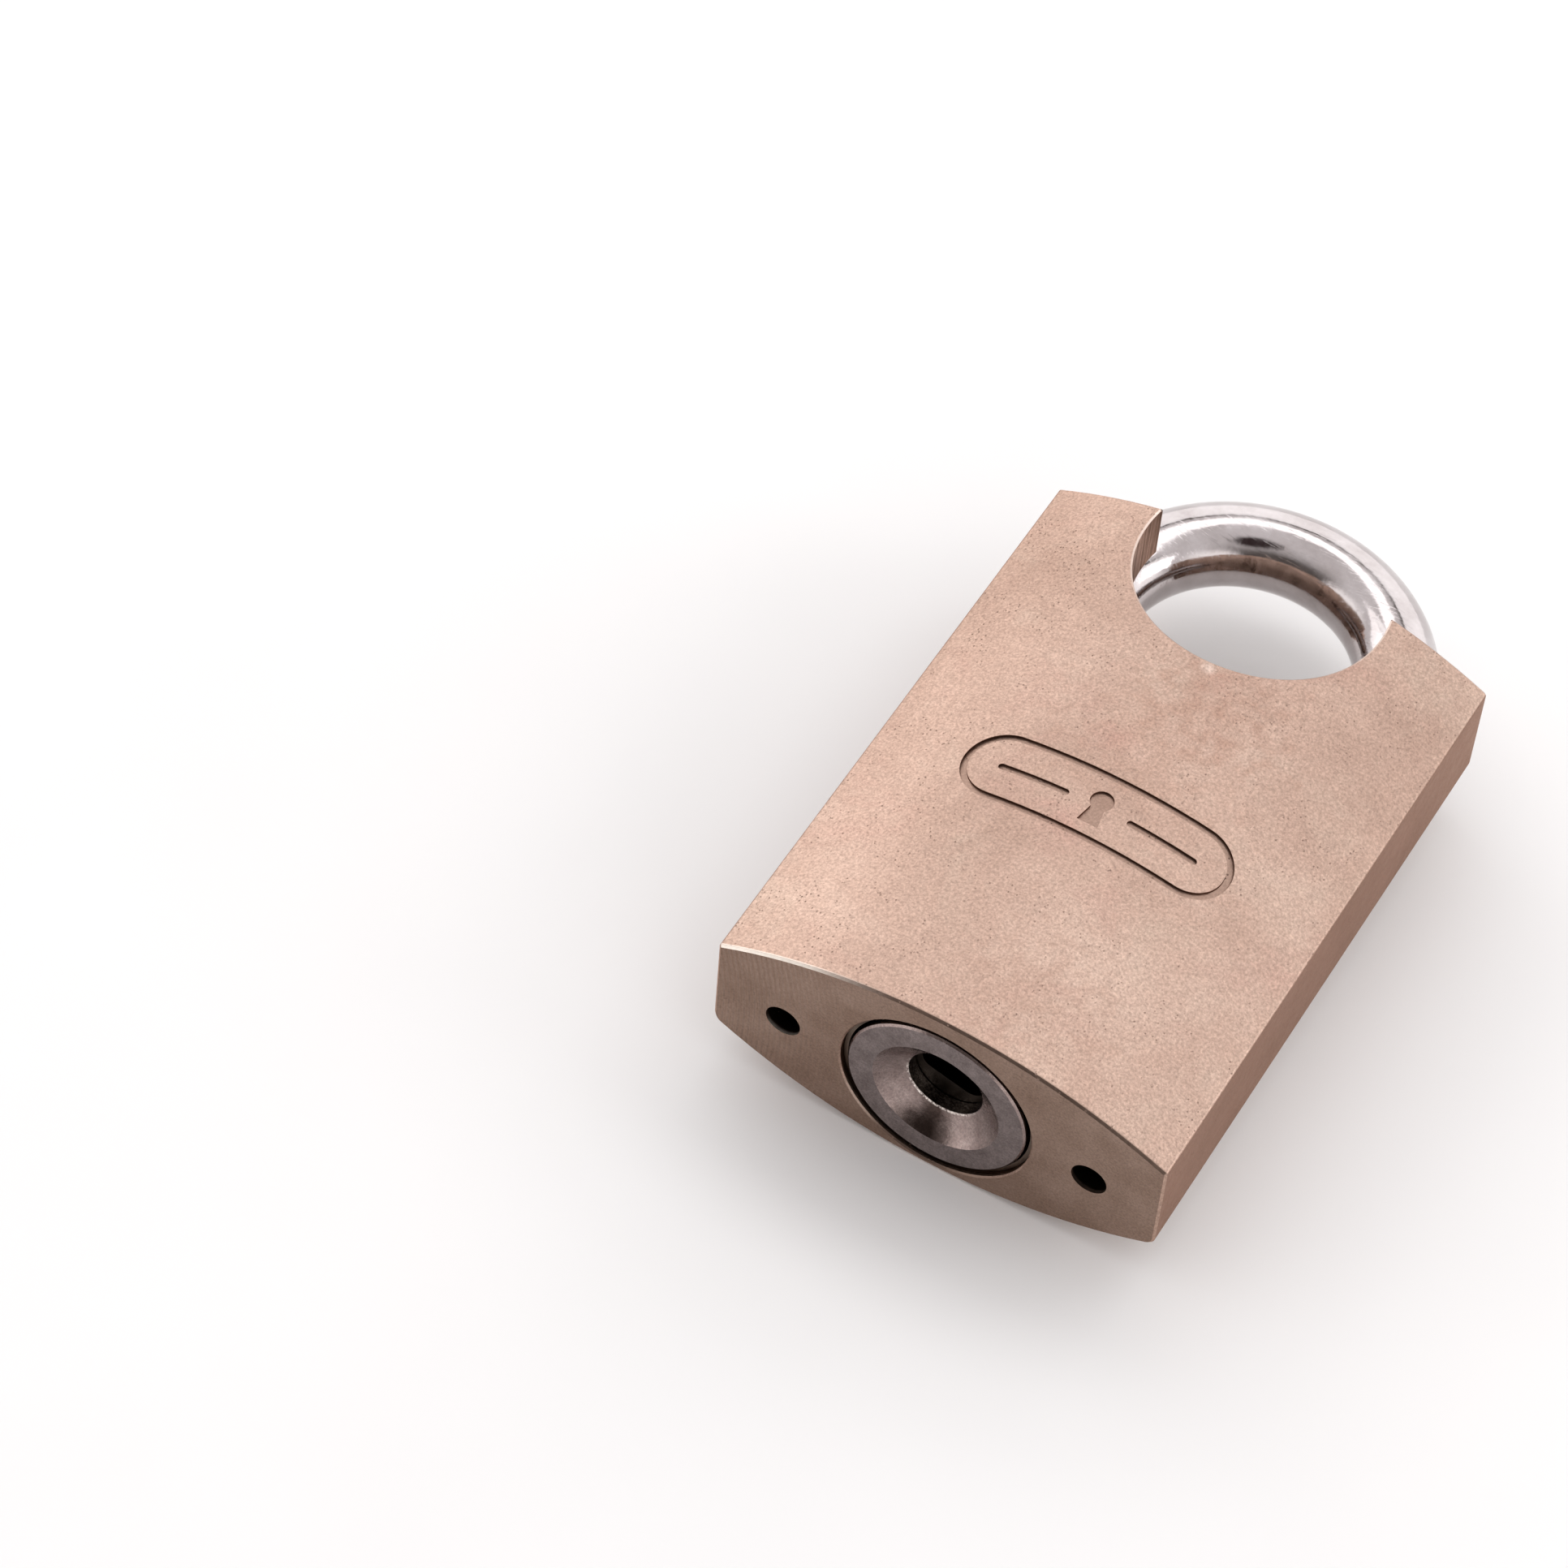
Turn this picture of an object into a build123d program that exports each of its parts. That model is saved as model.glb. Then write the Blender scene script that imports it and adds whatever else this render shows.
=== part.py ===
from build123d import *
import math
import os

# Closed-shackle padlock with a disc cylinder, lying on its back.
# Working axes: X across the body, Y from the keyhole end to the shackle, Z out of the front face.
# Everything is drawn with y = 0 on the keyhole end face and z = 0 half way through the body.
# The last step moves the whole lock so that it rests on z = 0 with its footprint centred.
# All sizes are in millimetres.

# ---- driving dimensions ------------------------------------------------------------------
BODY_WIDTH = 60.0
BODY_LENGTH = 83.5
SIDE_FACE = 14.8            # height of each flat side face
BOW = 7.3                   # how far each bowed face stands above its side edges
FRONT_EDGE_RADIUS = 0.5
BACK_EDGE_RADIUS = 1.8
END_CHAMFER = 0.3

NOTCH_RADIUS = 16.3         # round cutout at the shackle end
NOTCH_Y = 80.1
NOTCH_CHAMFER = 0.25

LEG_X = 19.8                # legs of the shackle, each side of the middle
WIRE_RADIUS = 5.4
LEG_CLEARANCE = 0.3
CROWN_Y = 76.8              # where the legs end and the half-round crown starts
SHACKLE_LIFT = 34.5
BALL_Y = 57.0
BALL_RADIUS = 4.0
BALL_CLEARANCE = 0.3
BALL_GRIP = 2.0             # how far a locked ball reaches into the leg
HEEL_BALL_TRAVEL = 1.3
TOE_BALL_TRAVEL = 2.3
HEEL_FLAT_DEPTH = 1.0
HEEL_COLLAR = 3.2           # full-size end of the long leg, below its neck
TOE_COLLAR = 2.9            # full-size end of the short leg, below its notch
LEG_CHAMFER = 0.8

AXIS_Z = -1.0               # every bore sits a little nearer the back than the front
BORE_RADIUS = 12.9
BORE_DEPTH = 50.5
BORE_CHAMFER = 0.2
CAM_CHAMBER_RADIUS = 8.5
CAM_CHAMBER_END = 61.0
DRAIN_RADIUS = 2.35
DRAIN_X = 20.7
FIT_GAP = 0.05              # gap between pieces that are pushed together
TURN_GAP = 0.3              # gap between pieces that turn past each other

HOUSING_START = 1.0
HOUSING_END = 50.0
HOUSING_BORE_RADIUS = 10.5
FACE_RADIUS = 12.0
FACE_START = 0.15
FACE_END = 4.4
FACE_CHAMFER = 0.25
DISH_RADIUS = 8.5           # the dish leads the key into a round hole
DISH_DEPTH = 2.5
DISH_HOLLOW = 0.2           # how far its wall is hollowed below a straight cone
FACE_HOLE_RADIUS = 5.0
KEY_SLOT_TILT = -15.0
KEY_SLOT_LENGTH = 8.6
KEY_SLOT_WIDTH = 3.6

CORE_RADIUS = 10.3
CORE_BORE_RADIUS = 8.4
CORE_START = 4.5
CORE_WALL_END = 7.6
CORE_END = 42.4
CORE_NECK_RADIUS = 9.3
DISC_COUNT = 10
DISC_THICKNESS = 2.3
SPACER_THICKNESS = 0.9
STACK_GAP = 0.05
DISC_RADIUS = 8.1
CODE_STEP = 15.0
SPACER_BORE_RADIUS = 4.9
FALSE_GATE_RADIUS = 0.7
FALSE_GATE_ANGLE = 100.0    # of an uncoded disc, and how far each code step moves it
FALSE_GATE_STEP = 25.0
SIDEBAR_RADIUS = 1.2
SIDEBAR_CENTRE = 8.9
SIDEBAR_START = 8.4
SIDEBAR_END = 39.1
SIDEBAR_END_GAP = 0.3
GATE_GAP = 0.15             # round the sidebar in each disc and spacer
COUPLING_WIDTH = 5.0
COUPLING_DEPTH = 2.0
COUPLING_GAP = 0.2

CAM_START = 42.5
CAM_FLANGE_END = 45.0
CAM_NECK_RADIUS = 7.9
CAM_HEAD_START = 52.0
CAM_HEAD_END = 60.6
WASHER_START = 45.1
WASHER_THICKNESS = 1.2

SPRING_WIRE_RADIUS = 0.6
SPRING_TURNS = 5
SPRING_END_GAP = 0.1
SPRING_SIDE_GAP = 0.5
HEEL_BORE_END = 5.0

RING_START = 5.1
RING_THICKNESS = 1.0
RING_INNER_RADIUS = 9.6
RING_OUTER_RADIUS = 11.3
RING_OPENING = 40.0         # degrees left open in the spring ring

PIN_RADIUS = 1.5
PIN_Y = 10.5
PIN_INNER_X = 10.9

BADGE_LENGTH = 36.0         # plain engraved outline on the front
BADGE_HEIGHT = 10.5
BADGE_LINE = 0.9
BADGE_DEPTH = 0.35
BADGE_Y = 37.0
BAR_LENGTH = 9.5            # a plain bar each side of the keyhole sign
BAR_X = 8.7
SIGN_HEAD_RADIUS = 1.5
SIGN_HEAD_Y = 1.0
SIGN_NECK = 0.7             # half widths of the sign's foot, and where it ends
SIGN_FOOT = 1.4
SIGN_FOOT_Y = -2.8

# ---- sizes that follow from them ---------------------------------------------------------
THICKNESS = SIDE_FACE + 2 * BOW
OVERALL_LENGTH = CROWN_Y + LEG_X + WIRE_RADIUS
LEG_BORE_RADIUS = WIRE_RADIUS + LEG_CLEARANCE
LEG_INNER_X = LEG_X - WIRE_RADIUS
LOCKED_BALL_X = LEG_INNER_X + BALL_GRIP - BALL_RADIUS
NOTCH_CUT_RADIUS = BALL_RADIUS + BALL_CLEARANCE
NOTCH_HALF_WIDTH = math.sqrt(NOTCH_CUT_RADIUS**2 - (LEG_INNER_X - LOCKED_BALL_X) ** 2)
NECK_Y = BALL_Y - SHACKLE_LIFT
HEEL_END = NECK_Y - NOTCH_HALF_WIDTH - HEEL_COLLAR
TOE_END = BALL_Y - NOTCH_HALF_WIDTH - TOE_COLLAR
TOE_BORE_END = TOE_END - 1.2
CAM_LOBE_RADIUS = LOCKED_BALL_X - BALL_RADIUS - TURN_GAP
CAM_OPEN_HEEL = CAM_LOBE_RADIUS - HEEL_BALL_TRAVEL
CAM_OPEN_TOE = CAM_LOBE_RADIUS - TOE_BALL_TRAVEL

PLACE = Pos(0, -OVERALL_LENGTH / 2, THICKNESS / 2)


# ---- helpers -----------------------------------------------------------------------------
def across(y):
    """A drawing plane square to the lock's length, with X to the right and Z up."""
    return Plane(origin=(0, y, 0), x_dir=(1, 0, 0), z_dir=(0, -1, 0))


def prism(sketch, start, end):
    """A sketch drawn in X and Z, drawn out along Y from start to end."""
    return extrude(across(end) * sketch, amount=end - start)


def rod(radius, start, end, x=0.0, z=AXIS_Z):
    return prism(Pos(x, z) * Circle(radius), start, end)


def tube(outer, inner, start, end, x=0.0, z=AXIS_Z):
    return rod(outer, start, end, x, z) - rod(inner, start, end, x, z)


def half_ring(tube_radius):
    """The half-round crown, as thick as tube_radius, between the two legs."""
    section = across(CROWN_Y) * Pos(LEG_X, AXIS_Z) * Circle(tube_radius)
    return revolve(section, axis=Axis((0, CROWN_Y, 0), (0, 0, 1)), revolution_arc=180)


def keyway(length, width, start, end, angle=KEY_SLOT_TILT):
    slot = Pos(0, AXIS_Z) * Rot(0, 0, angle) * SlotOverall(length, width)
    return prism(slot, start, end)


# ---- body --------------------------------------------------------------------------------
def body_section(inset=0.0):
    half = BODY_WIDTH / 2 - inset
    side = SIDE_FACE / 2
    rise = side + BOW - inset
    front = ThreePointArc((-half, side - inset), (0, rise), (half, side - inset))
    right = Line((half, side - inset), (half, -side + inset))
    back = ThreePointArc((half, -side + inset), (0, -rise), (-half, -side + inset))
    left = Line((-half, -side + inset), (-half, side - inset))
    return make_face(Curve() + [front, right, back, left])


def badge():
    """A plain stadium outline with a keyhole sign in it, cut to an even depth in the bowed face."""
    outline = SlotOverall(BADGE_LENGTH, BADGE_HEIGHT)
    outline -= SlotOverall(BADGE_LENGTH - 2 * BADGE_LINE, BADGE_HEIGHT - 2 * BADGE_LINE)
    sign = Pos(0, SIGN_HEAD_Y) * Circle(SIGN_HEAD_RADIUS)
    foot = [
        (-SIGN_NECK, SIGN_HEAD_Y),
        (SIGN_NECK, SIGN_HEAD_Y),
        (SIGN_FOOT, SIGN_FOOT_Y),
        (-SIGN_FOOT, SIGN_FOOT_Y),
    ]
    sign += make_face(Polyline(*foot, close=True))
    bars = [Pos(side * BAR_X, 0) * SlotOverall(BAR_LENGTH, BADGE_LINE) for side in (-1, 1)]
    drawing = Pos(0, BADGE_Y) * (outline + sign + bars)
    cutter = extrude(Plane.XY * drawing, amount=THICKNESS)
    return cutter - prism(body_section(BADGE_DEPTH), 0, BODY_LENGTH)


def lock_body():
    section = body_section()
    section = fillet(section.vertices().group_by(Axis.Y)[-1], FRONT_EDGE_RADIUS)
    section = fillet(section.vertices().group_by(Axis.Y)[0], BACK_EDGE_RADIUS)
    body = prism(section, 0, BODY_LENGTH)
    body = chamfer(body.edges().group_by(Axis.Y)[0], END_CHAMFER)
    body = chamfer(body.edges().group_by(Axis.Y)[-1], END_CHAMFER)

    notch = Pos(0, NOTCH_Y, 0) * Cylinder(NOTCH_RADIUS, 2 * THICKNESS)
    body -= notch
    rim = [edge for edge in body.edges() if is_notch_rim(edge)]
    body = chamfer(rim, NOTCH_CHAMFER)

    body -= rod(LEG_BORE_RADIUS, HEEL_BORE_END, BODY_LENGTH + 1, LEG_X)
    body -= rod(LEG_BORE_RADIUS, TOE_BORE_END, BODY_LENGTH + 1, -LEG_X)
    body -= half_ring(LEG_BORE_RADIUS)
    for x, end in ((DRAIN_X, HEEL_BORE_END + 1), (-DRAIN_X, TOE_BORE_END + 1)):
        body -= rod(DRAIN_RADIUS, -1, end, x)

    body -= rod(BORE_RADIUS, -1, BORE_DEPTH)
    body = chamfer([edge for edge in body.edges() if is_bore_mouth(edge)], BORE_CHAMFER)
    body -= rod(CAM_CHAMBER_RADIUS, BORE_DEPTH - 1, CAM_CHAMBER_END)
    channel = Rot(0, 90, 0) * Cylinder(BALL_RADIUS + BALL_CLEARANCE, 2 * LEG_X)
    body -= Pos(0, BALL_Y, AXIS_Z) * channel
    body -= cross_pin(PIN_RADIUS, BORE_RADIUS - 1, LEG_X)
    return body - badge()


def is_bore_mouth(edge):
    on_circle = edge.geom_type == GeomType.CIRCLE and abs(edge.radius - BORE_RADIUS) < 0.01
    return on_circle and abs(edge.center().Y) < 0.01


def is_notch_rim(edge):
    middle = edge @ 0.5
    on_notch = abs(math.hypot(middle.X, middle.Y - NOTCH_Y) - NOTCH_RADIUS) < 0.05
    return on_notch and abs(middle.Z) > SIDE_FACE / 2 and edge.geom_type != GeomType.LINE


# ---- shackle, spring and balls -----------------------------------------------------------
def shackle():
    """Half-round crown, a long leg at +X and a short leg at -X, with the cuts for the balls."""
    bar = half_ring(WIRE_RADIUS)
    bar += rod(WIRE_RADIUS, HEEL_END, CROWN_Y, LEG_X)
    bar += rod(WIRE_RADIUS, TOE_END, CROWN_Y, -LEG_X)
    ends = bar.edges().filter_by(GeomType.CIRCLE)
    bar = chamfer(ends.filter_by(lambda edge: edge.center().Y < TOE_END + 0.1), LEG_CHAMFER)

    for side in (-1, 1):
        bar -= Pos(side * LOCKED_BALL_X, BALL_Y, 0) * Cylinder(NOTCH_CUT_RADIUS, 3 * WIRE_RADIUS)
    flat_x = LEG_INNER_X + HEEL_FLAT_DEPTH - WIRE_RADIUS
    flat = Box(2 * WIRE_RADIUS, SHACKLE_LIFT, 3 * WIRE_RADIUS)
    bar -= Pos(flat_x, (NECK_Y + BALL_Y) / 2, 0) * flat
    neck_profile = Pos(LOCKED_BALL_X, NECK_Y, AXIS_Z) * Circle(NOTCH_CUT_RADIUS)
    bar -= revolve(neck_profile, axis=Axis((LEG_X, NECK_Y, AXIS_Z), (0, 1, 0)))
    return bar


def shackle_spring():
    """Compressed coil spring under the long leg."""
    wire = SPRING_WIRE_RADIUS
    height = HEEL_END - HEEL_BORE_END - 2 * (wire + SPRING_END_GAP)
    radius = LEG_BORE_RADIUS - wire - SPRING_SIDE_GAP
    coil = Helix(pitch=height / SPRING_TURNS, height=height, radius=radius)
    start = Plane(origin=coil @ 0, z_dir=coil % 0)
    spring = sweep(start * Circle(wire), path=coil, is_frenet=True)
    return Pos(LEG_X, HEEL_BORE_END + wire + SPRING_END_GAP, AXIS_Z) * Rot(-90, 0, 0) * spring


def locking_ball(x):
    return Pos(x, BALL_Y, AXIS_Z) * Sphere(BALL_RADIUS)


# ---- cylinder ----------------------------------------------------------------------------
def cylinder_housing():
    """Sleeve that holds the plug, with a stepped mouth, a ring groove and a sidebar groove."""
    outer = BORE_RADIUS - FIT_GAP
    sleeve = rod(outer, HOUSING_START, HOUSING_END)
    sleeve -= rod(HOUSING_BORE_RADIUS, HOUSING_START - 1, WASHER_START + WASHER_THICKNESS + 0.2)
    sleeve -= rod(FACE_RADIUS + TURN_GAP, HOUSING_START - 1, FACE_END + TURN_GAP)
    sleeve -= rod(RING_OUTER_RADIUS + 0.1, RING_START - 0.05, RING_START + RING_THICKNESS + 0.05)
    sleeve -= rod(CAM_NECK_RADIUS + 0.5, HOUSING_START - 1, HOUSING_END + 1)
    sleeve -= rod(SIDEBAR_RADIUS + 0.2, CORE_WALL_END, CORE_END, 0, AXIS_Z + HOUSING_BORE_RADIUS)
    return sleeve - cross_pin(PIN_RADIUS, PIN_INNER_X - 1, BORE_RADIUS + 1)


def cross_pin(radius, start_x, end_x):
    pin = Rot(0, 90, 0) * Cylinder(radius, end_x - start_x)
    return Pos((start_x + end_x) / 2, PIN_Y, AXIS_Z) * pin


def housing_pin():
    """Pushed in from the foot of the long leg's bore, through the wall and into the housing."""
    bore_wall_x = LEG_X - LEG_BORE_RADIUS
    return cross_pin(PIN_RADIUS - FIT_GAP, PIN_INNER_X, bore_wall_x - FIT_GAP)


def retaining_ring():
    ring = tube(RING_OUTER_RADIUS, RING_INNER_RADIUS, RING_START, RING_START + RING_THICKNESS)
    half_angle = math.radians(RING_OPENING / 2)
    reach = 2 * RING_OUTER_RADIUS
    corner = (reach * math.cos(half_angle), reach * math.sin(half_angle))
    wedge = make_face(Polyline((0, 0), corner, (corner[0], -corner[1]), close=True))
    return ring - prism(Pos(0, AXIS_Z) * wedge, RING_START - 1, RING_START + RING_THICKNESS + 1)


def plug_face():
    """Hardened disc with a flat rim and a dish that leads into a round hole for the key."""
    disc = rod(FACE_RADIUS, FACE_START, FACE_END)
    disc = chamfer(disc.edges().group_by(Axis.Y)[0], FACE_CHAMFER)
    foot = FACE_START + DISH_DEPTH
    middle_radius = (DISH_RADIUS + FACE_HOLE_RADIUS) / 2
    wall_middle = (middle_radius, (FACE_START + foot) / 2 + DISH_HOLLOW)
    wall = ThreePointArc((DISH_RADIUS, FACE_START), wall_middle, (FACE_HOLE_RADIUS, foot))
    rest = Polyline(
        (FACE_HOLE_RADIUS, foot),
        (FACE_HOLE_RADIUS, FACE_END + 1),
        (0, FACE_END + 1),
        (0, FACE_START - 1),
        (DISH_RADIUS, FACE_START - 1),
        (DISH_RADIUS, FACE_START),
    )
    dish = revolve(make_face(Curve() + [wall, rest]), axis=Axis.Y)
    return disc - Pos(0, 0, AXIS_Z) * dish


def plug_core():
    """Turning barrel: key slot in front, bore for the discs, sidebar slot and a slotted end."""
    core = rod(CORE_RADIUS, CORE_START, CORE_END)
    core -= tube(CORE_RADIUS + 1, CORE_NECK_RADIUS, CORE_START - 1, RING_START + RING_THICKNESS + 0.1)
    core -= rod(CORE_BORE_RADIUS, CORE_WALL_END, CORE_END + 1)
    core -= keyway(KEY_SLOT_LENGTH, KEY_SLOT_WIDTH, CORE_START - 1, CORE_WALL_END + 1)
    slot_start = SIDEBAR_START - SIDEBAR_END_GAP
    slot_end = SIDEBAR_END + SIDEBAR_END_GAP
    core -= rod(SIDEBAR_RADIUS + 0.1, slot_start, slot_end, SIDEBAR_CENTRE)
    core -= Pos(0, CORE_END, AXIS_Z) * Box(3 * CORE_RADIUS, 2 * COUPLING_DEPTH, COUPLING_WIDTH)
    return core


def stack_position(index):
    return CORE_WALL_END + STACK_GAP + index * (DISC_THICKNESS + SPACER_THICKNESS + 2 * STACK_GAP)


def code_disc(index):
    """Disc with its gate at the sidebar and its key slot turned by its own code angle."""
    start = stack_position(index)
    end = start + DISC_THICKNESS
    disc = rod(DISC_RADIUS, start, end)
    disc -= rod(SIDEBAR_RADIUS + GATE_GAP, start - 1, end + 1, SIDEBAR_CENTRE)
    code = (index * 7) % 5 - 2
    angle = math.radians(FALSE_GATE_ANGLE + FALSE_GATE_STEP * code)
    gate_x = DISC_RADIUS * math.cos(angle)
    gate_z = AXIS_Z + DISC_RADIUS * math.sin(angle)
    disc -= rod(FALSE_GATE_RADIUS, start - 1, end + 1, gate_x, gate_z)
    tilt = KEY_SLOT_TILT + code * CODE_STEP
    return disc - keyway(KEY_SLOT_LENGTH, KEY_SLOT_WIDTH, start - 1, end + 1, tilt)


def disc_spacer(index):
    """Thin washer between two discs, keyed to the core by the sidebar's slot."""
    start = stack_position(index) + DISC_THICKNESS + STACK_GAP
    end = start + SPACER_THICKNESS
    washer = tube(DISC_RADIUS, SPACER_BORE_RADIUS, start, end)
    return washer - rod(SIDEBAR_RADIUS + GATE_GAP, start - 1, end + 1, SIDEBAR_CENTRE)


def sidebar():
    return rod(SIDEBAR_RADIUS, SIDEBAR_START, SIDEBAR_END, SIDEBAR_CENTRE)


def cam_profile():
    """Two lobes at plus and minus Z. Each radius falls evenly to the open size at its ball's side."""
    quadrants = (
        (0, CAM_OPEN_HEEL, CAM_LOBE_RADIUS),
        (90, CAM_LOBE_RADIUS, CAM_OPEN_TOE),
        (180, CAM_OPEN_TOE, CAM_LOBE_RADIUS),
        (270, CAM_LOBE_RADIUS, CAM_OPEN_HEEL),
    )
    steps = 6
    curves = []
    for start_angle, first, last in quadrants:
        points = []
        for step in range(steps + 1):
            radius = first + (last - first) * step / steps
            angle = math.radians(start_angle + 90 * step / steps)
            points.append((radius * math.cos(angle), radius * math.sin(angle)))
        curves.append(Spline(*points))
    return Pos(0, AXIS_Z) * make_face(Curve() + curves)


def cam():
    """Driven by the core's slot; turns in the housing's end wall and pushes the balls out."""
    flange_radius = CORE_RADIUS - 0.1
    tongue_start = CORE_END - COUPLING_DEPTH + COUPLING_GAP
    tongue = rod(flange_radius, tongue_start, CAM_START)
    tongue &= Pos(0, CORE_END, AXIS_Z) * Box(
        3 * CORE_RADIUS, 3 * COUPLING_DEPTH, COUPLING_WIDTH - COUPLING_GAP
    )
    body = tongue + rod(flange_radius, CAM_START, CAM_FLANGE_END)
    body += rod(CAM_NECK_RADIUS, CAM_START, CAM_HEAD_START)
    return body + prism(cam_profile(), CAM_HEAD_START, CAM_HEAD_END)


def cam_washer():
    end = WASHER_START + WASHER_THICKNESS
    return tube(CORE_RADIUS, CAM_NECK_RADIUS + 0.2, WASHER_START, end)


# ---- the lock ----------------------------------------------------------------------------
pieces = {
    "lock_body": lock_body(),
    "shackle": shackle(),
    "shackle_spring": shackle_spring(),
    "cylinder_housing": cylinder_housing(),
    "housing_pin": housing_pin(),
    "retaining_ring": retaining_ring(),
    "plug_face": plug_face(),
    "plug_core": plug_core(),
    "sidebar": sidebar(),
    "cam": cam(),
    "cam_washer": cam_washer(),
    "locking_ball_heel": locking_ball(LOCKED_BALL_X - HEEL_BALL_TRAVEL),
    "locking_ball_toe": locking_ball(-(LOCKED_BALL_X - TOE_BALL_TRAVEL)),
}
for number in range(DISC_COUNT):
    pieces[f"code_disc_{number + 1}"] = code_disc(number)
for number in range(DISC_COUNT - 1):
    pieces[f"disc_spacer_{number + 1}"] = disc_spacer(number)

os.makedirs("parts", exist_ok=True)
for name, piece in pieces.items():
    export_step(PLACE * piece, f"parts/{name}.step")
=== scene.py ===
import math

import bpy
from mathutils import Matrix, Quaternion, Vector


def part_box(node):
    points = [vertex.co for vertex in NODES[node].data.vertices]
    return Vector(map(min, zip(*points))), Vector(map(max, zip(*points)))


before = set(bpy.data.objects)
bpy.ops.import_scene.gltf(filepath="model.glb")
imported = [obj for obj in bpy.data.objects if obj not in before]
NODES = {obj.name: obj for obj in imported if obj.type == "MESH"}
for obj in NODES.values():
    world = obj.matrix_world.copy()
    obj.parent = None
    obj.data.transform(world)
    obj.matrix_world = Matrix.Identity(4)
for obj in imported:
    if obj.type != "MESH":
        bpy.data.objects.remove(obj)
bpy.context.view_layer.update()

# Closed-shackle padlock lying on its back. Everything is in metres, in the CAD frame:
# X across the body, Y from the keyhole end to the shackle, Z out of the front face.

# ---- places taken from the frame ---------------------------------------------------------
BODY_LOW, BODY_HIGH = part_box("lock_body")
FACE_LOW, FACE_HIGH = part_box("plug_face")
END_Y = BODY_LOW.y
TOP_Y = BODY_HIGH.y
MIDDLE_Z = (BODY_LOW.z + BODY_HIGH.z) / 2
AXIS_Z = (FACE_LOW.z + FACE_HIGH.z) / 2
HOUSING_LOW, HOUSING_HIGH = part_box("cylinder_housing")
BORE_EDGE = (HOUSING_HIGH.x - HOUSING_LOW.x) / 2

# ---- sizes that the boxes don't give -----------------------------------------------------
HOLE_RADIUS = 0.0050
DRAIN_X = 0.0207
DRAIN_RADIUS = 0.00235
NOTCH_RADIUS = 0.0163
NOTCH_BOTTOM = TOP_Y - 0.0197
SIDE_HEIGHT = 0.0148
BOW = (BODY_HIGH.z - BODY_LOW.z - SIDE_HEIGHT) / 2
BOW_RADIUS = (BODY_HIGH.x ** 2 + BOW ** 2) / (2 * BOW)
BADGE_Y = END_Y + 0.0370
BADGE_REACH_X = 0.0192
BADGE_REACH_Y = 0.0062
FLOOR_SIZE = 3.0


# ---- small helpers for node materials ----------------------------------------------------
class Nodes:
    """Short ways to add nodes to one node tree."""

    def __init__(self, tree):
        self.tree = tree
        self.coordinates = tree.nodes.new("ShaderNodeTexCoord")

    def link(self, output, target):
        self.tree.links.new(output, target)

    def node(self, kind, **settings):
        made = self.tree.nodes.new(kind)
        for name, value in settings.items():
            setattr(made, name, value)
        return made

    def stretched(self, scale):
        """Object coordinates multiplied by scale along each axis."""
        mapping = self.node("ShaderNodeMapping")
        mapping.inputs["Scale"].default_value = scale
        self.link(self.coordinates.outputs["Object"], mapping.inputs["Vector"])
        return mapping.outputs["Vector"]

    def noise(self, scale, detail=3.0, roughness=0.55, distortion=0.0, vector=None):
        """Noise with about scale features to the metre, from 0 to 1."""
        made = self.node("ShaderNodeTexNoise")
        made.inputs["Scale"].default_value = scale
        made.inputs["Detail"].default_value = detail
        made.inputs["Roughness"].default_value = roughness
        made.inputs["Distortion"].default_value = distortion
        self.link(vector or self.coordinates.outputs["Object"], made.inputs["Vector"])
        return made.outputs["Fac"]

    def cells(self, scale):
        """Distance from the nearest of about scale scattered points to the metre."""
        made = self.node("ShaderNodeTexVoronoi")
        made.inputs["Scale"].default_value = scale
        self.link(self.coordinates.outputs["Object"], made.inputs["Vector"])
        return made.outputs["Distance"]

    def remap(self, value, low, high, to_low=0.0, to_high=1.0):
        """Straight line from (low, to_low) to (high, to_high), held beyond both ends."""
        made = self.node("ShaderNodeMapRange", clamp=True)
        ends = {"From Min": low, "From Max": high, "To Min": to_low, "To Max": to_high}
        for name, number in ends.items():
            made.inputs[name].default_value = number
        self.link(value, made.inputs["Value"])
        return made.outputs["Result"]

    def math(self, operation, first, second=None):
        made = self.node("ShaderNodeMath", operation=operation)
        for index, value in enumerate((first, second)):
            if value is None:
                continue
            if isinstance(value, (int, float)):
                made.inputs[index].default_value = value
            else:
                self.link(value, made.inputs[index])
        return made.outputs["Value"]

    def product(self, *values):
        result = values[0]
        for value in values[1:]:
            result = self.math("MULTIPLY", result, value)
        return result

    def squared_distance(self, across, along):
        return self.math("ADD", self.product(across, across), self.product(along, along))

    def ramp(self, value, stops):
        """Colour by value; stops is a list of (position, colour)."""
        made = self.node("ShaderNodeValToRGB")
        elements = made.color_ramp.elements
        for element, (position, colour) in zip(elements, (stops[0], stops[-1])):
            element.position = position
            element.color = (*colour, 1.0)
        for position, colour in stops[1:-1]:
            elements.new(position).color = (*colour, 1.0)
        self.link(value, made.inputs["Fac"])
        return made.outputs["Color"]

    def blend(self, amount, first, second, how="MIX"):
        """Mixes two colours; each is a colour output or three numbers."""
        made = self.node("ShaderNodeMix", data_type="RGBA", blend_type=how)
        for index, value in ((0, amount), (6, first), (7, second)):
            if isinstance(value, (int, float)):
                made.inputs[index].default_value = value
            elif isinstance(value, tuple):
                made.inputs[index].default_value = (*value, 1.0)
            else:
                self.link(value, made.inputs[index])
        return made.outputs[2]

    def component(self, output_name, axis):
        """One axis of the object-space position or normal."""
        made = self.node("ShaderNodeSeparateXYZ")
        self.link(self.coordinates.outputs[output_name], made.inputs["Vector"])
        return made.outputs[axis]


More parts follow.
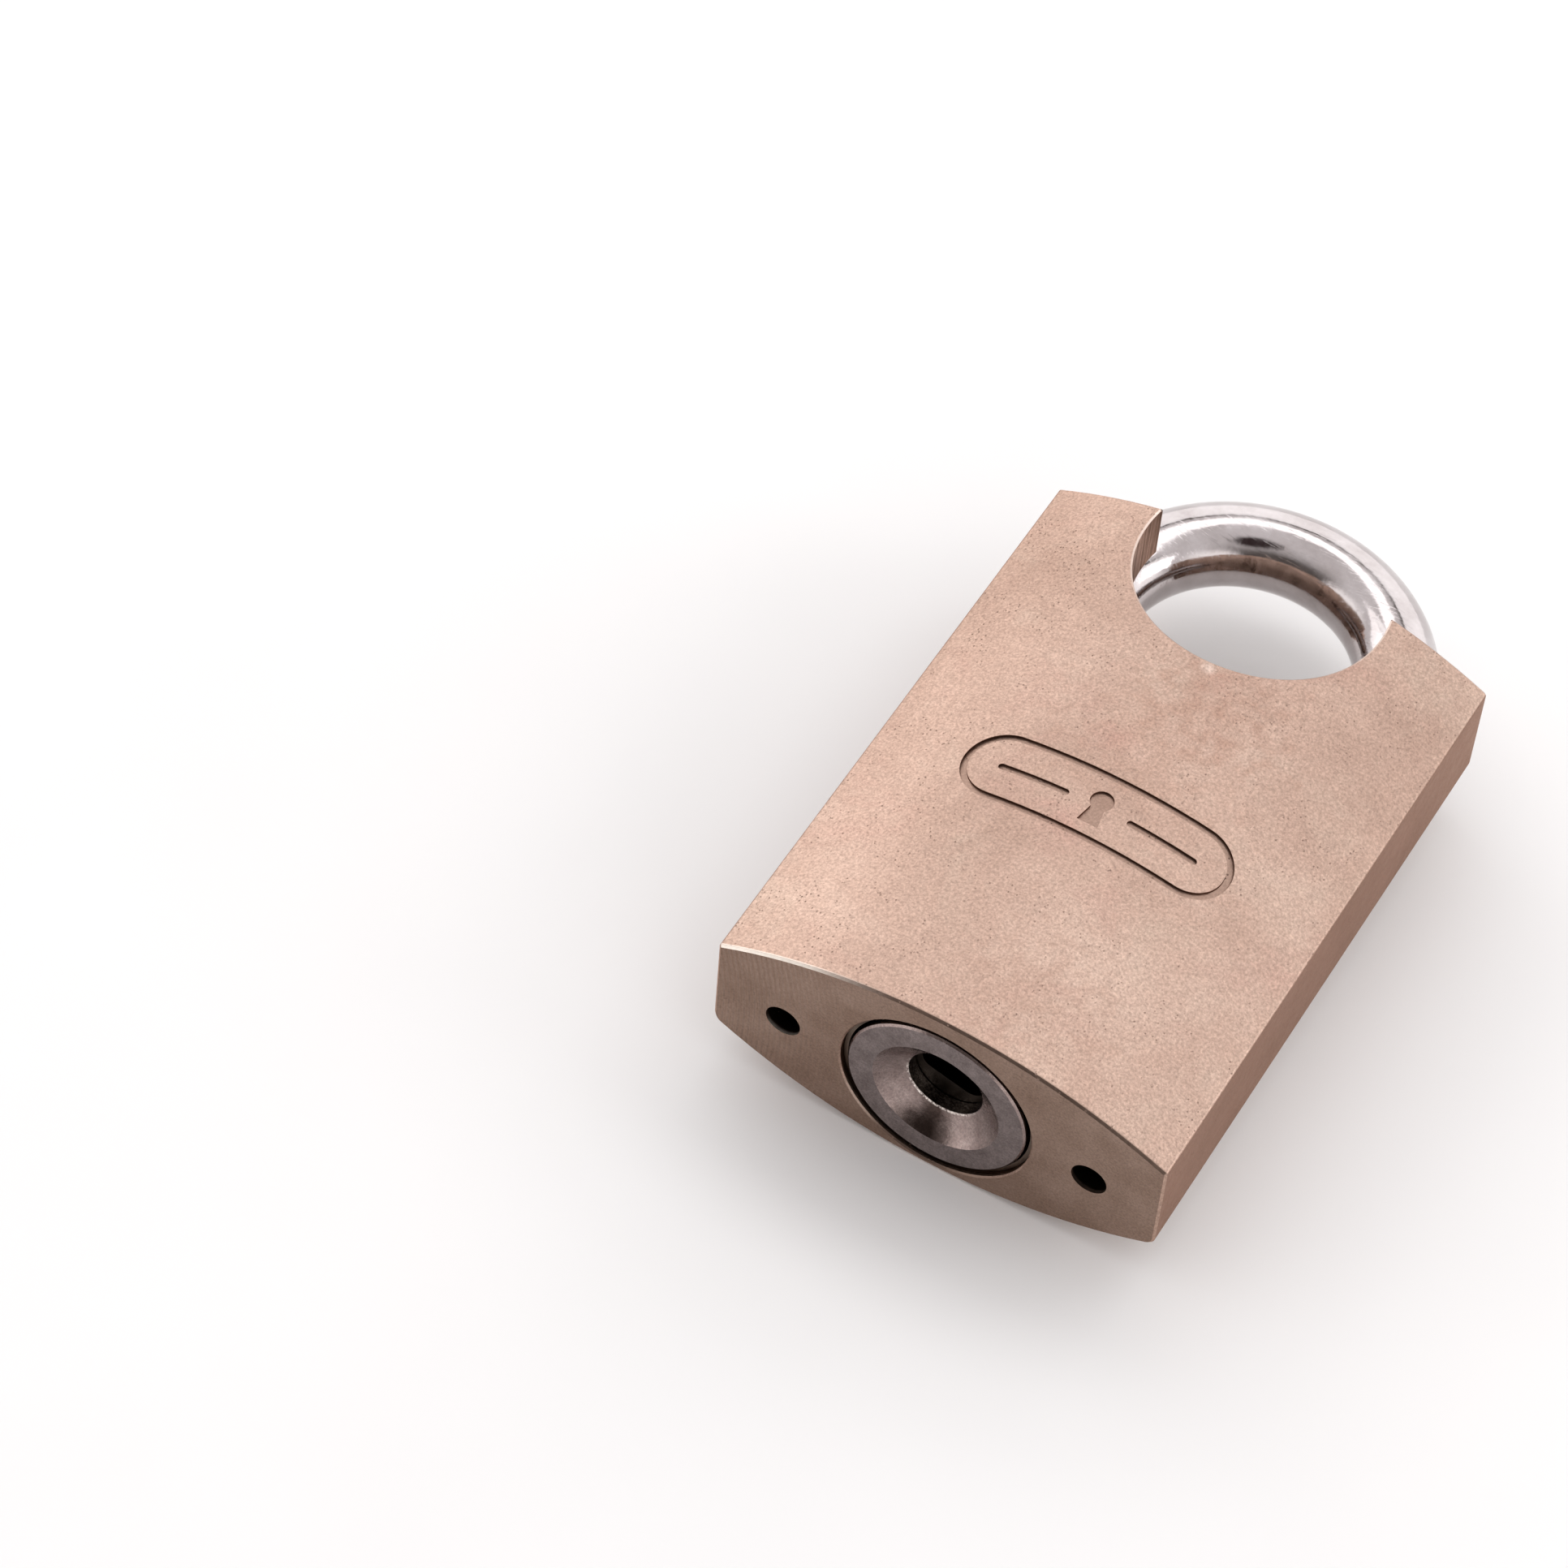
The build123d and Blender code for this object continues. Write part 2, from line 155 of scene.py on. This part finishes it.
class Surface(Nodes):
    """One material with a Principled shader."""

    def __init__(self, name):
        self.material = bpy.data.materials.new(name)
        self.material.use_nodes = True
        super().__init__(self.material.node_tree)
        self.shader = self.tree.nodes["Principled BSDF"]

    def set(self, **values):
        for name, value in values.items():
            self.shader.inputs[name.replace("_", " ")].default_value = value

    def bump(self, *layers):
        """Chains bump layers of (height, strength, distance in metres) into the shader's normal."""
        previous = None
        for height, strength, distance in layers:
            made = self.node("ShaderNodeBump")
            made.inputs["Strength"].default_value = strength
            made.inputs["Distance"].default_value = distance
            self.link(height, made.inputs["Height"])
            if previous:
                self.link(previous, made.inputs["Normal"])
            previous = made.outputs["Normal"]
        self.link(previous, self.shader.inputs["Normal"])


def radius_about_y(surface, x, z):
    """Distance from the line through (x, z) that runs along Y."""
    across = surface.math("SUBTRACT", surface.component("Object", "X"), x)
    up = surface.math("SUBTRACT", surface.component("Object", "Z"), z)
    return surface.math("SQRT", surface.squared_distance(across, up))


# ---- materials ---------------------------------------------------------------------------
# Linear colours of the satin plate and of what lies on it.
PLATE_DARK = (0.375, 0.255, 0.202)
PLATE_MIDDLE = (0.455, 0.318, 0.256)
PLATE_LIGHT = (0.525, 0.388, 0.318)
PLATE_PINK = (0.420, 0.262, 0.213)
PLATE_PALE = (0.490, 0.375, 0.305)
PIT = (0.20, 0.13, 0.10)
# Darker tones of the keyhole end and the sides: partly their own finish, partly painted shade.
END_SHADE_DARK = (0.236, 0.163, 0.126)
END_SHADE_LIGHT = (0.338, 0.247, 0.200)
SIDE_SHADE_DARK = (0.236, 0.142, 0.109)
SIDE_SHADE_LIGHT = (0.326, 0.210, 0.169)
# Near-black painted shade inside the bore and the drain holes.
BORE_PAINTED_SHADE = (0.030, 0.020, 0.014)
WORN_EDGE_HIGHLIGHT = (0.88, 0.80, 0.72)
# Dark painted shade for the chamfer of the keyhole end's front edge.
EDGE_PAINTED_SHADE = (0.16, 0.11, 0.085)
# Painted highlight on the cutout's chamfered rim, over worn bright metal.
RIM_HIGHLIGHT = (0.72, 0.62, 0.56)
STREAK_DARK = (0.100, 0.064, 0.045)
STREAK_LIGHT = (0.480, 0.350, 0.285)
# Engraving colours: the floor partly grime and partly painted shade, the walls painted shade.
GROOVE_FLOOR_GRIME_AND_SHADE = (0.225, 0.146, 0.112)
GROOVE_WALL_SHADE = (0.085, 0.052, 0.038)

# Patches of the front face as x, y, radius, feather, amount and colour: a pinker, darker middle and
# darker patches at both its ends, which are painted shade over the plate's tone, then rosy stains and pale
# rubbed places.
STAINS_AND_SHADE_PATCHES = (
    # The first three patches are painted shade: a darker middle and darker ends of the front face.
    (0.0010, -0.0040, 0.0060, 0.030, 0.80, (0.405, 0.257, 0.197)),
    (0.0060, NOTCH_BOTTOM - 0.0046, 0.0060, 0.018, 0.80, (0.325, 0.192, 0.143)),
    (0.0067, -0.0415, 0.0060, 0.020, 0.70, (0.350, 0.218, 0.166)),
    (0.0040, NOTCH_BOTTOM - 0.0030, 0.0010, 0.006, 0.60, (0.460, 0.250, 0.205)),
    (-0.0043, -0.0043, 0.0020, 0.007, 0.50, (0.430, 0.240, 0.200)),
    (-0.0032, -0.0171, 0.0020, 0.006, 0.50, (0.460, 0.262, 0.222)),
    (0.0005, -0.0045, 0.0012, 0.005, 0.50, (0.600, 0.450, 0.385)),
    (0.0012, NOTCH_BOTTOM - 0.0010, 0.0008, 0.0014, 0.85, (0.690, 0.560, 0.490)),
)


def shade(surface, colour, value, low, high):
    """Multiplies a colour by a grey between low and high, following value."""
    grey = surface.ramp(value, [(0.25, (low,) * 3), (0.75, (high,) * 3)])
    return surface.blend(1.0, colour, grey, "MULTIPLY")


def spot(surface, x, y, radius, feather):
    """1 inside a patch of the front face round (x, y), fading to 0 with a ragged edge."""
    across = surface.math("SUBTRACT", surface.component("Object", "X"), x)
    along = surface.math("SUBTRACT", surface.component("Object", "Y"), y)
    distance = surface.math("SQRT", surface.squared_distance(across, along))
    ragged = surface.math("MULTIPLY", surface.noise(420, detail=4), 1.6 * feather)
    reach = surface.math("ADD", distance, ragged)
    return surface.remap(reach, radius + feather, radius, 0.0, 1.0)


def plate_colour(s, patches, mottle, grain):
    """Cloudy champagne with pinker and paler patches, the stains and the patches of painted shade, and
    fine grain.
    """
    clouds = s.noise(34, detail=6, roughness=0.62, distortion=0.3)
    colour = s.ramp(clouds, [(0.30, PLATE_DARK), (0.50, PLATE_MIDDLE), (0.70, PLATE_LIGHT)])
    colour = s.blend(s.remap(patches, 0.54, 0.74, 0.0, 0.65), colour, PLATE_PINK)
    colour = s.blend(s.remap(patches, 0.46, 0.30, 0.0, 0.50), colour, PLATE_PALE)
    # Stains, pale rubbed places and patches of painted shade, one after another.
    for x, y, radius, feather, amount, tone in STAINS_AND_SHADE_PATCHES:
        colour = s.blend(s.math("MULTIPLY", spot(s, x, y, radius, feather), amount), colour, tone)
    colour = shade(s, colour, mottle, 0.92, 1.06)
    return shade(s, colour, grain, 0.65, 1.27)


def tiny_pits(s):
    """1 in the middle of each pit; pits come in loose groups."""
    pits = s.remap(s.cells(1500), 0.05, 0.20, 1.0, 0.0)
    return s.math("MULTIPLY", pits, s.remap(s.noise(210, detail=2), 0.46, 0.60))


def bore_walls(s):
    """1 on the walls of the cylinder bore and the two drain holes."""
    inside = s.remap(s.component("Object", "Y"), END_Y + 0.0002, END_Y + 0.0006)
    near_hole = s.remap(radius_about_y(s, 0.0, AXIS_Z), BORE_EDGE + 0.0004, BORE_EDGE)
    for x in (-DRAIN_X, DRAIN_X):
        near_drain = s.remap(radius_about_y(s, x, AXIS_Z), DRAIN_RADIUS + 0.0003, DRAIN_RADIUS + 0.0001)
        near_hole = s.math("MAXIMUM", near_hole, near_drain)
    return s.math("MULTIPLY", near_hole, inside)


def end_edge(s, colour, facing_up):
    """Front edge of the keyhole end: a worn edge with a painted highlight on the left, a band of painted
    shade on the right.
    """
    from_end = s.math("ABSOLUTE", s.math("SUBTRACT", s.component("Object", "Y"), END_Y))
    edge = s.math("MULTIPLY", s.remap(from_end, 0.0005, 0.0002), s.remap(facing_up, 0.25, 0.60))
    left = s.remap(s.component("Object", "X"), -0.006, -0.020)
    # Painted highlight along the left part of the edge, over a worn chamfer.
    colour = s.blend(s.math("MULTIPLY", edge, left), colour, WORN_EDGE_HIGHLIGHT)
    # Painted shade along the rest of the edge.
    return s.blend(s.math("MULTIPLY", edge, s.math("SUBTRACT", 0.85, left)), colour, EDGE_PAINTED_SHADE)


def cutout(s, facing_up):
    """Masks for the chamfered rim and for the wall of the round cutout."""
    along = s.math("SUBTRACT", s.component("Object", "Y"), NOTCH_BOTTOM + NOTCH_RADIUS)
    distance = s.math("SQRT", s.squared_distance(s.component("Object", "X"), along))
    at_cutout = s.remap(s.math("SUBTRACT", distance, NOTCH_RADIUS), 0.0006, 0.0004)
    rim = s.product(at_cutout, s.remap(facing_up, 0.90, 0.80), s.remap(facing_up, 0.35, 0.55))
    wall = s.math("MULTIPLY", at_cutout, s.remap(facing_up, 0.3, 0.1))
    return rim, wall


def engraving(s, facing_up):
    """Masks for the whole engraving and for its walls alone."""
    from_bow_axis = radius_about_y(s, 0.0, BODY_HIGH.z - BOW_RADIUS)
    sunk = s.remap(s.math("SUBTRACT", BOW_RADIUS, from_bow_axis), 0.00008, 0.00018)
    off_middle = s.math("ABSOLUTE", s.component("Object", "X"))
    off_badge = s.math("ABSOLUTE", s.math("SUBTRACT", s.component("Object", "Y"), BADGE_Y))
    within_x = s.remap(off_middle, BADGE_REACH_X, BADGE_REACH_X - 0.0004)
    within_y = s.remap(off_badge, BADGE_REACH_Y, BADGE_REACH_Y - 0.0004)
    engraved = s.product(sunk, within_x, within_y)
    return engraved, s.math("MULTIPLY", engraved, s.remap(facing_up, 0.80, 0.50))


def milling_arcs(s, facing_end):
    """Ripples that a cutter left across the left part of the keyhole end."""
    arcs = s.node("ShaderNodeTexWave", wave_type="RINGS", rings_direction="SPHERICAL")
    arcs.inputs["Scale"].default_value = 440
    arcs.inputs["Distortion"].default_value = 1.2
    arcs.inputs["Detail"].default_value = 2.0
    centred = s.node("ShaderNodeMapping")
    centred.inputs["Location"].default_value = (0.085, -END_Y, -0.010)
    s.link(s.coordinates.outputs["Object"], centred.inputs["Vector"])
    s.link(centred.outputs["Vector"], arcs.inputs["Vector"])
    left = s.remap(s.component("Object", "X"), -0.010, -0.024)
    return s.product(arcs.outputs["Fac"], facing_end, left)


def satin_nickel():
    """Satin plate over a machined body, each face with the marks of its own cutting; the keyhole end and
    the sides get darker tones that are partly their own finish and partly painted shade.
    """
    s = Surface("satin_nickel")
    s.set(Metallic=1.0, Specular_Tint=(0.84, 0.68, 0.60, 1.0))
    patches = s.noise(62, detail=7, roughness=0.66, distortion=0.5)
    mottle = s.noise(620, detail=4, roughness=0.7)
    grain = s.noise(2900, detail=2, roughness=0.75)
    facing_up = s.component("Normal", "Z")
    facing_end = s.remap(s.component("Normal", "Y"), -0.80, -0.97)
    facing_side = s.remap(s.math("ABSOLUTE", s.component("Normal", "X")), 0.80, 0.97)

    pits = tiny_pits(s)
    colour = plate_colour(s, patches, mottle, grain)
    colour = s.blend(s.math("MULTIPLY", pits, 0.60), colour, PIT)

    # Keyhole end and sides take darker tones, partly their machined finish and partly painted shade.
    shaded_end_tone = s.ramp(s.noise(140, detail=5, roughness=0.65), [(0.3, END_SHADE_DARK), (0.7, END_SHADE_LIGHT)])
    shaded_end_tone = shade(s, shaded_end_tone, grain, 0.75, 1.2)
    shaded_side_tone = s.ramp(patches, [(0.3, SIDE_SHADE_DARK), (0.7, SIDE_SHADE_LIGHT)])
    shaded_side_tone = shade(s, shaded_side_tone, grain, 0.8, 1.2)
    colour = s.blend(s.math("MULTIPLY", facing_end, 0.92), colour, shaded_end_tone)
    colour = s.blend(s.math("MULTIPLY", facing_side, 0.85), colour, shaded_side_tone)
    # Walls of the bore and the drain holes painted near-black: painted shade.
    colour = s.blend(bore_walls(s), colour, BORE_PAINTED_SHADE)
    colour = end_edge(s, colour, facing_up)

    rim, wall = cutout(s, facing_up)
    wall_lines = s.noise(1.0, detail=3, vector=s.stretched((2200, 2200, 50)))
    streaks = s.ramp(wall_lines, [(0.38, STREAK_DARK), (0.60, STREAK_LIGHT)])
    # Chamfered rim of the cutout: worn metal with a painted highlight.
    colour = s.blend(s.math("MULTIPLY", rim, 0.6), colour, RIM_HIGHLIGHT)
    colour = s.blend(s.math("MULTIPLY", wall, 0.75), colour, streaks)

    engraved, shaded_walls = engraving(s, facing_up)
    # Engraving floor painted darker: partly grime, partly painted shade in the groove.
    colour = s.blend(s.math("MULTIPLY", engraved, 0.55), colour, GROOVE_FLOOR_GRIME_AND_SHADE)
    # Steep walls of the engraving painted much darker: painted shade.
    colour = s.blend(s.math("MULTIPLY", shaded_walls, 0.85), colour, GROOVE_WALL_SHADE)
    s.link(colour, s.shader.inputs["Base Color"])

    rough = s.math("ADD", s.remap(mottle, 0.3, 0.7, 0.34, 0.46), s.math("MULTIPLY", facing_end, 0.04))
    s.link(rough, s.shader.inputs["Roughness"])

    side_lines = s.noise(1.0, detail=3, vector=s.stretched((30, 1900, 420)))
    s.bump(
        (s.noise(110, detail=3), 0.30, 0.00045),
        (mottle, 0.22, 0.00010),
        (grain, 0.55, 0.00005),
        (milling_arcs(s, facing_end), 1.0, 0.00014),
        (s.math("MULTIPLY", side_lines, facing_side), 0.25, 0.00005),
        (s.math("MULTIPLY", wall_lines, wall), 0.6, 0.00012),
        (s.math("MULTIPLY", pits, -1.0), 0.8, 0.00012),
    )
    return s.material


def polished_chrome():
    """Bright chrome with faint smears, dimples and a few hair scratches."""
    s = Surface("polished_chrome")
    s.set(Metallic=1.0)
    smear = s.noise(170, detail=5, roughness=0.65)
    colour = s.ramp(smear, [(0.3, (0.455, 0.410, 0.405)), (0.7, (0.610, 0.570, 0.572))])
    s.link(colour, s.shader.inputs["Base Color"])
    s.link(s.remap(smear, 0.35, 0.7, 0.06, 0.20), s.shader.inputs["Roughness"])
    scratches = s.noise(1.0, detail=5, roughness=0.75, vector=s.stretched((260, 4200, 900)))
    s.bump(
        (s.noise(330, detail=3), 0.20, 0.0002),
        (s.noise(2300, detail=3), 0.10, 0.00003),
        (s.remap(scratches, 0.58, 0.75), 0.20, 0.00004),
    )
    return s.material


def hardened_steel():
    """Grey steel with a purple cast: pitted and dull on the flat rim, smoother in the dish."""
    s = Surface("hardened_steel")
    s.set(Metallic=1.0)
    blotches = s.noise(520, detail=6, roughness=0.7)
    fine = s.noise(3400, detail=3, roughness=0.75)
    flat = s.remap(s.component("Normal", "Y"), -0.93, -0.98)
    rim = s.ramp(blotches, [(0.3, (0.150, 0.118, 0.112)), (0.7, (0.290, 0.240, 0.232))])
    dish = s.ramp(blotches, [(0.3, (0.238, 0.176, 0.163)), (0.7, (0.396, 0.314, 0.292))])
    # A dark streak low in the dish: painted reflection.
    wander = s.math("MULTIPLY", s.noise(330, detail=4), 0.0040)
    across = s.component("Object", "X")
    height = s.component("Object", "Z")
    sideways = s.math("ABSOLUTE", s.math("ADD", s.math("SUBTRACT", across, 0.0010), wander))
    below = s.remap(height, AXIS_Z - 0.0020, AXIS_Z - 0.0045)
    reflection_streak = s.math("MULTIPLY", s.remap(sideways, 0.0030, 0.0008), below)
    dish = s.blend(s.math("MULTIPLY", reflection_streak, 0.85), dish, (0.045, 0.028, 0.022))
    colour = s.blend(flat, dish, rim)
    from_axis = radius_about_y(s, 0.0, AXIS_Z)
    from_edge = s.math("ABSOLUTE", s.math("SUBTRACT", from_axis, HOLE_RADIUS + 0.0001))
    at_hole = s.remap(from_edge, 0.00022, 0.00008)
    diagonal = s.math("ADD", height, s.math("MULTIPLY", across, 0.5))
    lower_left = s.remap(diagonal, AXIS_Z, AXIS_Z - 0.003)
    rubbed = s.product(at_hole, lower_left, s.remap(fine, 0.42, 0.58))
    colour = s.blend(rubbed, colour, (0.86, 0.78, 0.72))
    # Surfaces inside the keyhole painted near-black: painted shade.
    inside = s.remap(from_axis, HOLE_RADIUS + 0.0001, HOLE_RADIUS - 0.0001)
    colour = s.blend(inside, colour, (0.025, 0.017, 0.012))
    colour = shade(s, colour, fine, 0.62, 1.30)
    s.link(colour, s.shader.inputs["Base Color"])
    rough = s.math("ADD", s.math("MULTIPLY", flat, 0.20), s.remap(blotches, 0.3, 0.7, 0.20, 0.30))
    s.link(rough, s.shader.inputs["Roughness"])
    s.bump(
        (s.math("MULTIPLY", fine, s.math("ADD", 0.25, flat)), 0.7, 0.00006),
        (blotches, 0.30, 0.00010),
    )
    return s.material


def machined(name, dark, light, low_roughness, high_roughness, shade_near_end=None):
    """Turned or drawn metal with fine lines; the optional dark colour is painted shade that it takes near
    the keyhole end.
    """
    s = Surface(name)
    s.set(Metallic=1.0)
    stain = s.noise(300, detail=4)
    lines = s.noise(1.0, detail=3, vector=s.stretched((300, 6000, 300)))
    colour = s.ramp(stain, [(0.3, dark), (0.7, light)])
    # Painted shade on the inner parts towards the keyhole end.
    if shade_near_end:
        depth = s.math("ADD", s.component("Object", "Y"), s.math("MULTIPLY", stain, 0.004))
        colour = s.blend(s.remap(depth, END_Y + 0.020, END_Y + 0.012), colour, shade_near_end)
    s.link(colour, s.shader.inputs["Base Color"])
    s.link(s.remap(lines, 0.3, 0.7, low_roughness, high_roughness), s.shader.inputs["Roughness"])
    s.bump((lines, 0.25, 0.00003), (stain, 0.15, 0.00005))
    return s.material


def pale_floor():
    s = Surface("pale_floor")
    mottling = s.noise(12, detail=3)
    colour = s.ramp(mottling, [(0.3, (0.90, 0.90, 0.90)), (0.7, (0.93, 0.93, 0.93))])
    s.link(colour, s.shader.inputs["Base Color"])
    s.link(s.remap(mottling, 0.3, 0.7, 0.80, 0.90), s.shader.inputs["Roughness"])
    s.set(Specular_IOR_Level=0.2)
    return s.material


def paint(names, material):
    for name in names:
        slots = NODES[name].data.materials
        slots.clear()
        slots.append(material)


def paint_nodes():
    discs = sorted(name for name in NODES if name.startswith("code_disc"))
    spacers = sorted(name for name in NODES if name.startswith("disc_spacer"))
    # Near-black painted shade for the inner parts seen through the keyhole.
    keyway_shade = (0.022, 0.016, 0.011)
    springy = machined("spring_steel", (0.30, 0.29, 0.29), (0.46, 0.45, 0.44), 0.18, 0.34)
    sleeve = machined("dark_steel", (0.085, 0.060, 0.045), (0.170, 0.125, 0.095), 0.30, 0.50)
    ball = machined("ball_steel", (0.56, 0.56, 0.57), (0.68, 0.68, 0.70), 0.06, 0.12)
    paint(["lock_body"], satin_nickel())
    paint(["shackle"], polished_chrome())
    paint(["plug_face"], hardened_steel())
    paint(["cam"], machined("cam_steel", (0.22, 0.19, 0.19), (0.34, 0.30, 0.30), 0.25, 0.42))
    paint(["cylinder_housing"], sleeve)
    paint(["plug_core"], machined("brass", (0.50, 0.33, 0.13), (0.66, 0.47, 0.22), 0.22, 0.36, keyway_shade))
    paint(discs, machined("disc_brass", (0.42, 0.27, 0.10), (0.60, 0.42, 0.18), 0.25, 0.42, keyway_shade))
    paint(["locking_ball_heel", "locking_ball_toe"], ball)
    paint(["shackle_spring", "housing_pin", "retaining_ring", "sidebar", "cam_washer", *spacers], springy)


# ---- studio ------------------------------------------------------------------------------
def floor():
    mesh = bpy.data.meshes.new("floor")
    half = FLOOR_SIZE / 2
    corners = [(-half, -half, 0), (half, -half, 0), (half, half, 0), (-half, half, 0)]
    mesh.from_pydata(corners, [], [(0, 1, 2, 3)])
    ground = bpy.data.objects.new("floor", mesh)
    ground.data.materials.append(pale_floor())
    bpy.context.scene.collection.objects.link(ground)


def softbox(name, place, aim, width, height, radiance):
    """Rectangular area light; radiance is how bright it looks in a mirror."""
    light = bpy.data.lights.new(name, "AREA")
    light.shape = "RECTANGLE"
    light.size = width
    light.size_y = height
    light.energy = radiance * math.pi * width * height
    lamp = bpy.data.objects.new(name, light)
    lamp.location = place
    lamp.rotation_euler = (Vector(aim) - Vector(place)).to_track_quat("-Z", "Y").to_euler()
    bpy.context.scene.collection.objects.link(lamp)


def surroundings():
    """White wall past the lock under a dark seam and a grey ceiling; a dim room with pale sides behind."""
    world = bpy.data.worlds.new("studio")
    world.use_nodes = True
    n = Nodes(world.node_tree)
    # height, depth and sideways are the parts of the unit direction that a ray leaves in
    depth = n.component("Generated", "Y")
    height = n.component("Generated", "Z")
    towards_wall = n.remap(depth, 0.05, 0.30)
    wall = n.math("MULTIPLY", towards_wall, n.remap(height, 0.672, 0.662))
    seam = n.product(towards_wall, n.remap(height, 0.660, 0.670), n.remap(height, 0.725, 0.700))
    sideways = n.component("Generated", "X")
    off_middle = n.math("ABSOLUTE", sideways)
    offset = n.squared_distance(n.math("SUBTRACT", sideways, 0.20), n.math("ADD", depth, 0.44))
    photographer = n.math("MULTIPLY", n.remap(offset, 0.060, 0.022), n.remap(height, 0.0, 0.1))
    straight_back = n.math("MULTIPLY", n.remap(off_middle, 0.75, 0.50), n.remap(height, 0.02, 0.20))
    behind = n.product(n.remap(depth, -0.25, -0.80), n.remap(height, 0.95, 0.60), straight_back)
    low = n.remap(height, 0.62, 0.42)
    flanks = n.product(n.remap(off_middle, 0.48, 0.66), n.remap(depth, -0.10, -0.35), low)
    colour = n.blend(behind, (0.55, 0.53, 0.53), (0.09, 0.08, 0.075))
    colour = n.blend(flanks, colour, (0.95, 0.93, 0.92))
    colour = n.blend(photographer, colour, (0.03, 0.02, 0.02))
    colour = n.blend(wall, colour, (1.0, 0.985, 0.985))
    colour = n.blend(seam, colour, (0.07, 0.06, 0.055))
    background = world.node_tree.nodes["Background"]
    background.inputs["Strength"].default_value = 1.6
    n.link(colour, background.inputs["Color"])
    bpy.context.scene.world = world


def studio():
    floor()
    centre = (0.0, 0.0, MIDDLE_Z)
    softbox("left_softbox", (-0.98, 0.36, 0.70), centre, 0.75, 0.75, 1.0)
    softbox("right_softbox", (1.05, 0.28, 0.55), centre, 0.50, 0.45, 2.4)
    softbox("overhead_softbox", (0.00, 0.55, 1.05), centre, 1.5, 0.35, 1.5)
    surroundings()


def camera():
    """A long lens above the keyhole end, a little to the right, rolled slightly."""
    target = Vector((-0.0381, -0.0214, MIDDLE_Z))
    distance = 0.6864
    azimuth = math.radians(26.58)
    elevation = math.radians(52.98)
    roll = math.radians(5.0)
    back = Vector((
        math.sin(azimuth) * math.cos(elevation),
        -math.cos(azimuth) * math.cos(elevation),
        math.sin(elevation),
    ))
    lens = bpy.data.cameras.new("camera")
    lens.sensor_width = 36.0
    lens.lens = 129.3
    lens.clip_start = 0.01
    lens.clip_end = 20.0
    viewer = bpy.data.objects.new("camera", lens)
    viewer.location = target + back * distance
    viewer.rotation_mode = "QUATERNION"
    viewer.rotation_quaternion = (-back).to_track_quat("-Z", "Y") @ Quaternion((0, 0, 1), roll)
    bpy.context.scene.collection.objects.link(viewer)
    bpy.context.scene.camera = viewer


paint_nodes()
studio()
camera()
bpy.context.scene.view_settings.view_transform = "Standard"
bpy.context.scene.view_settings.look = "None"
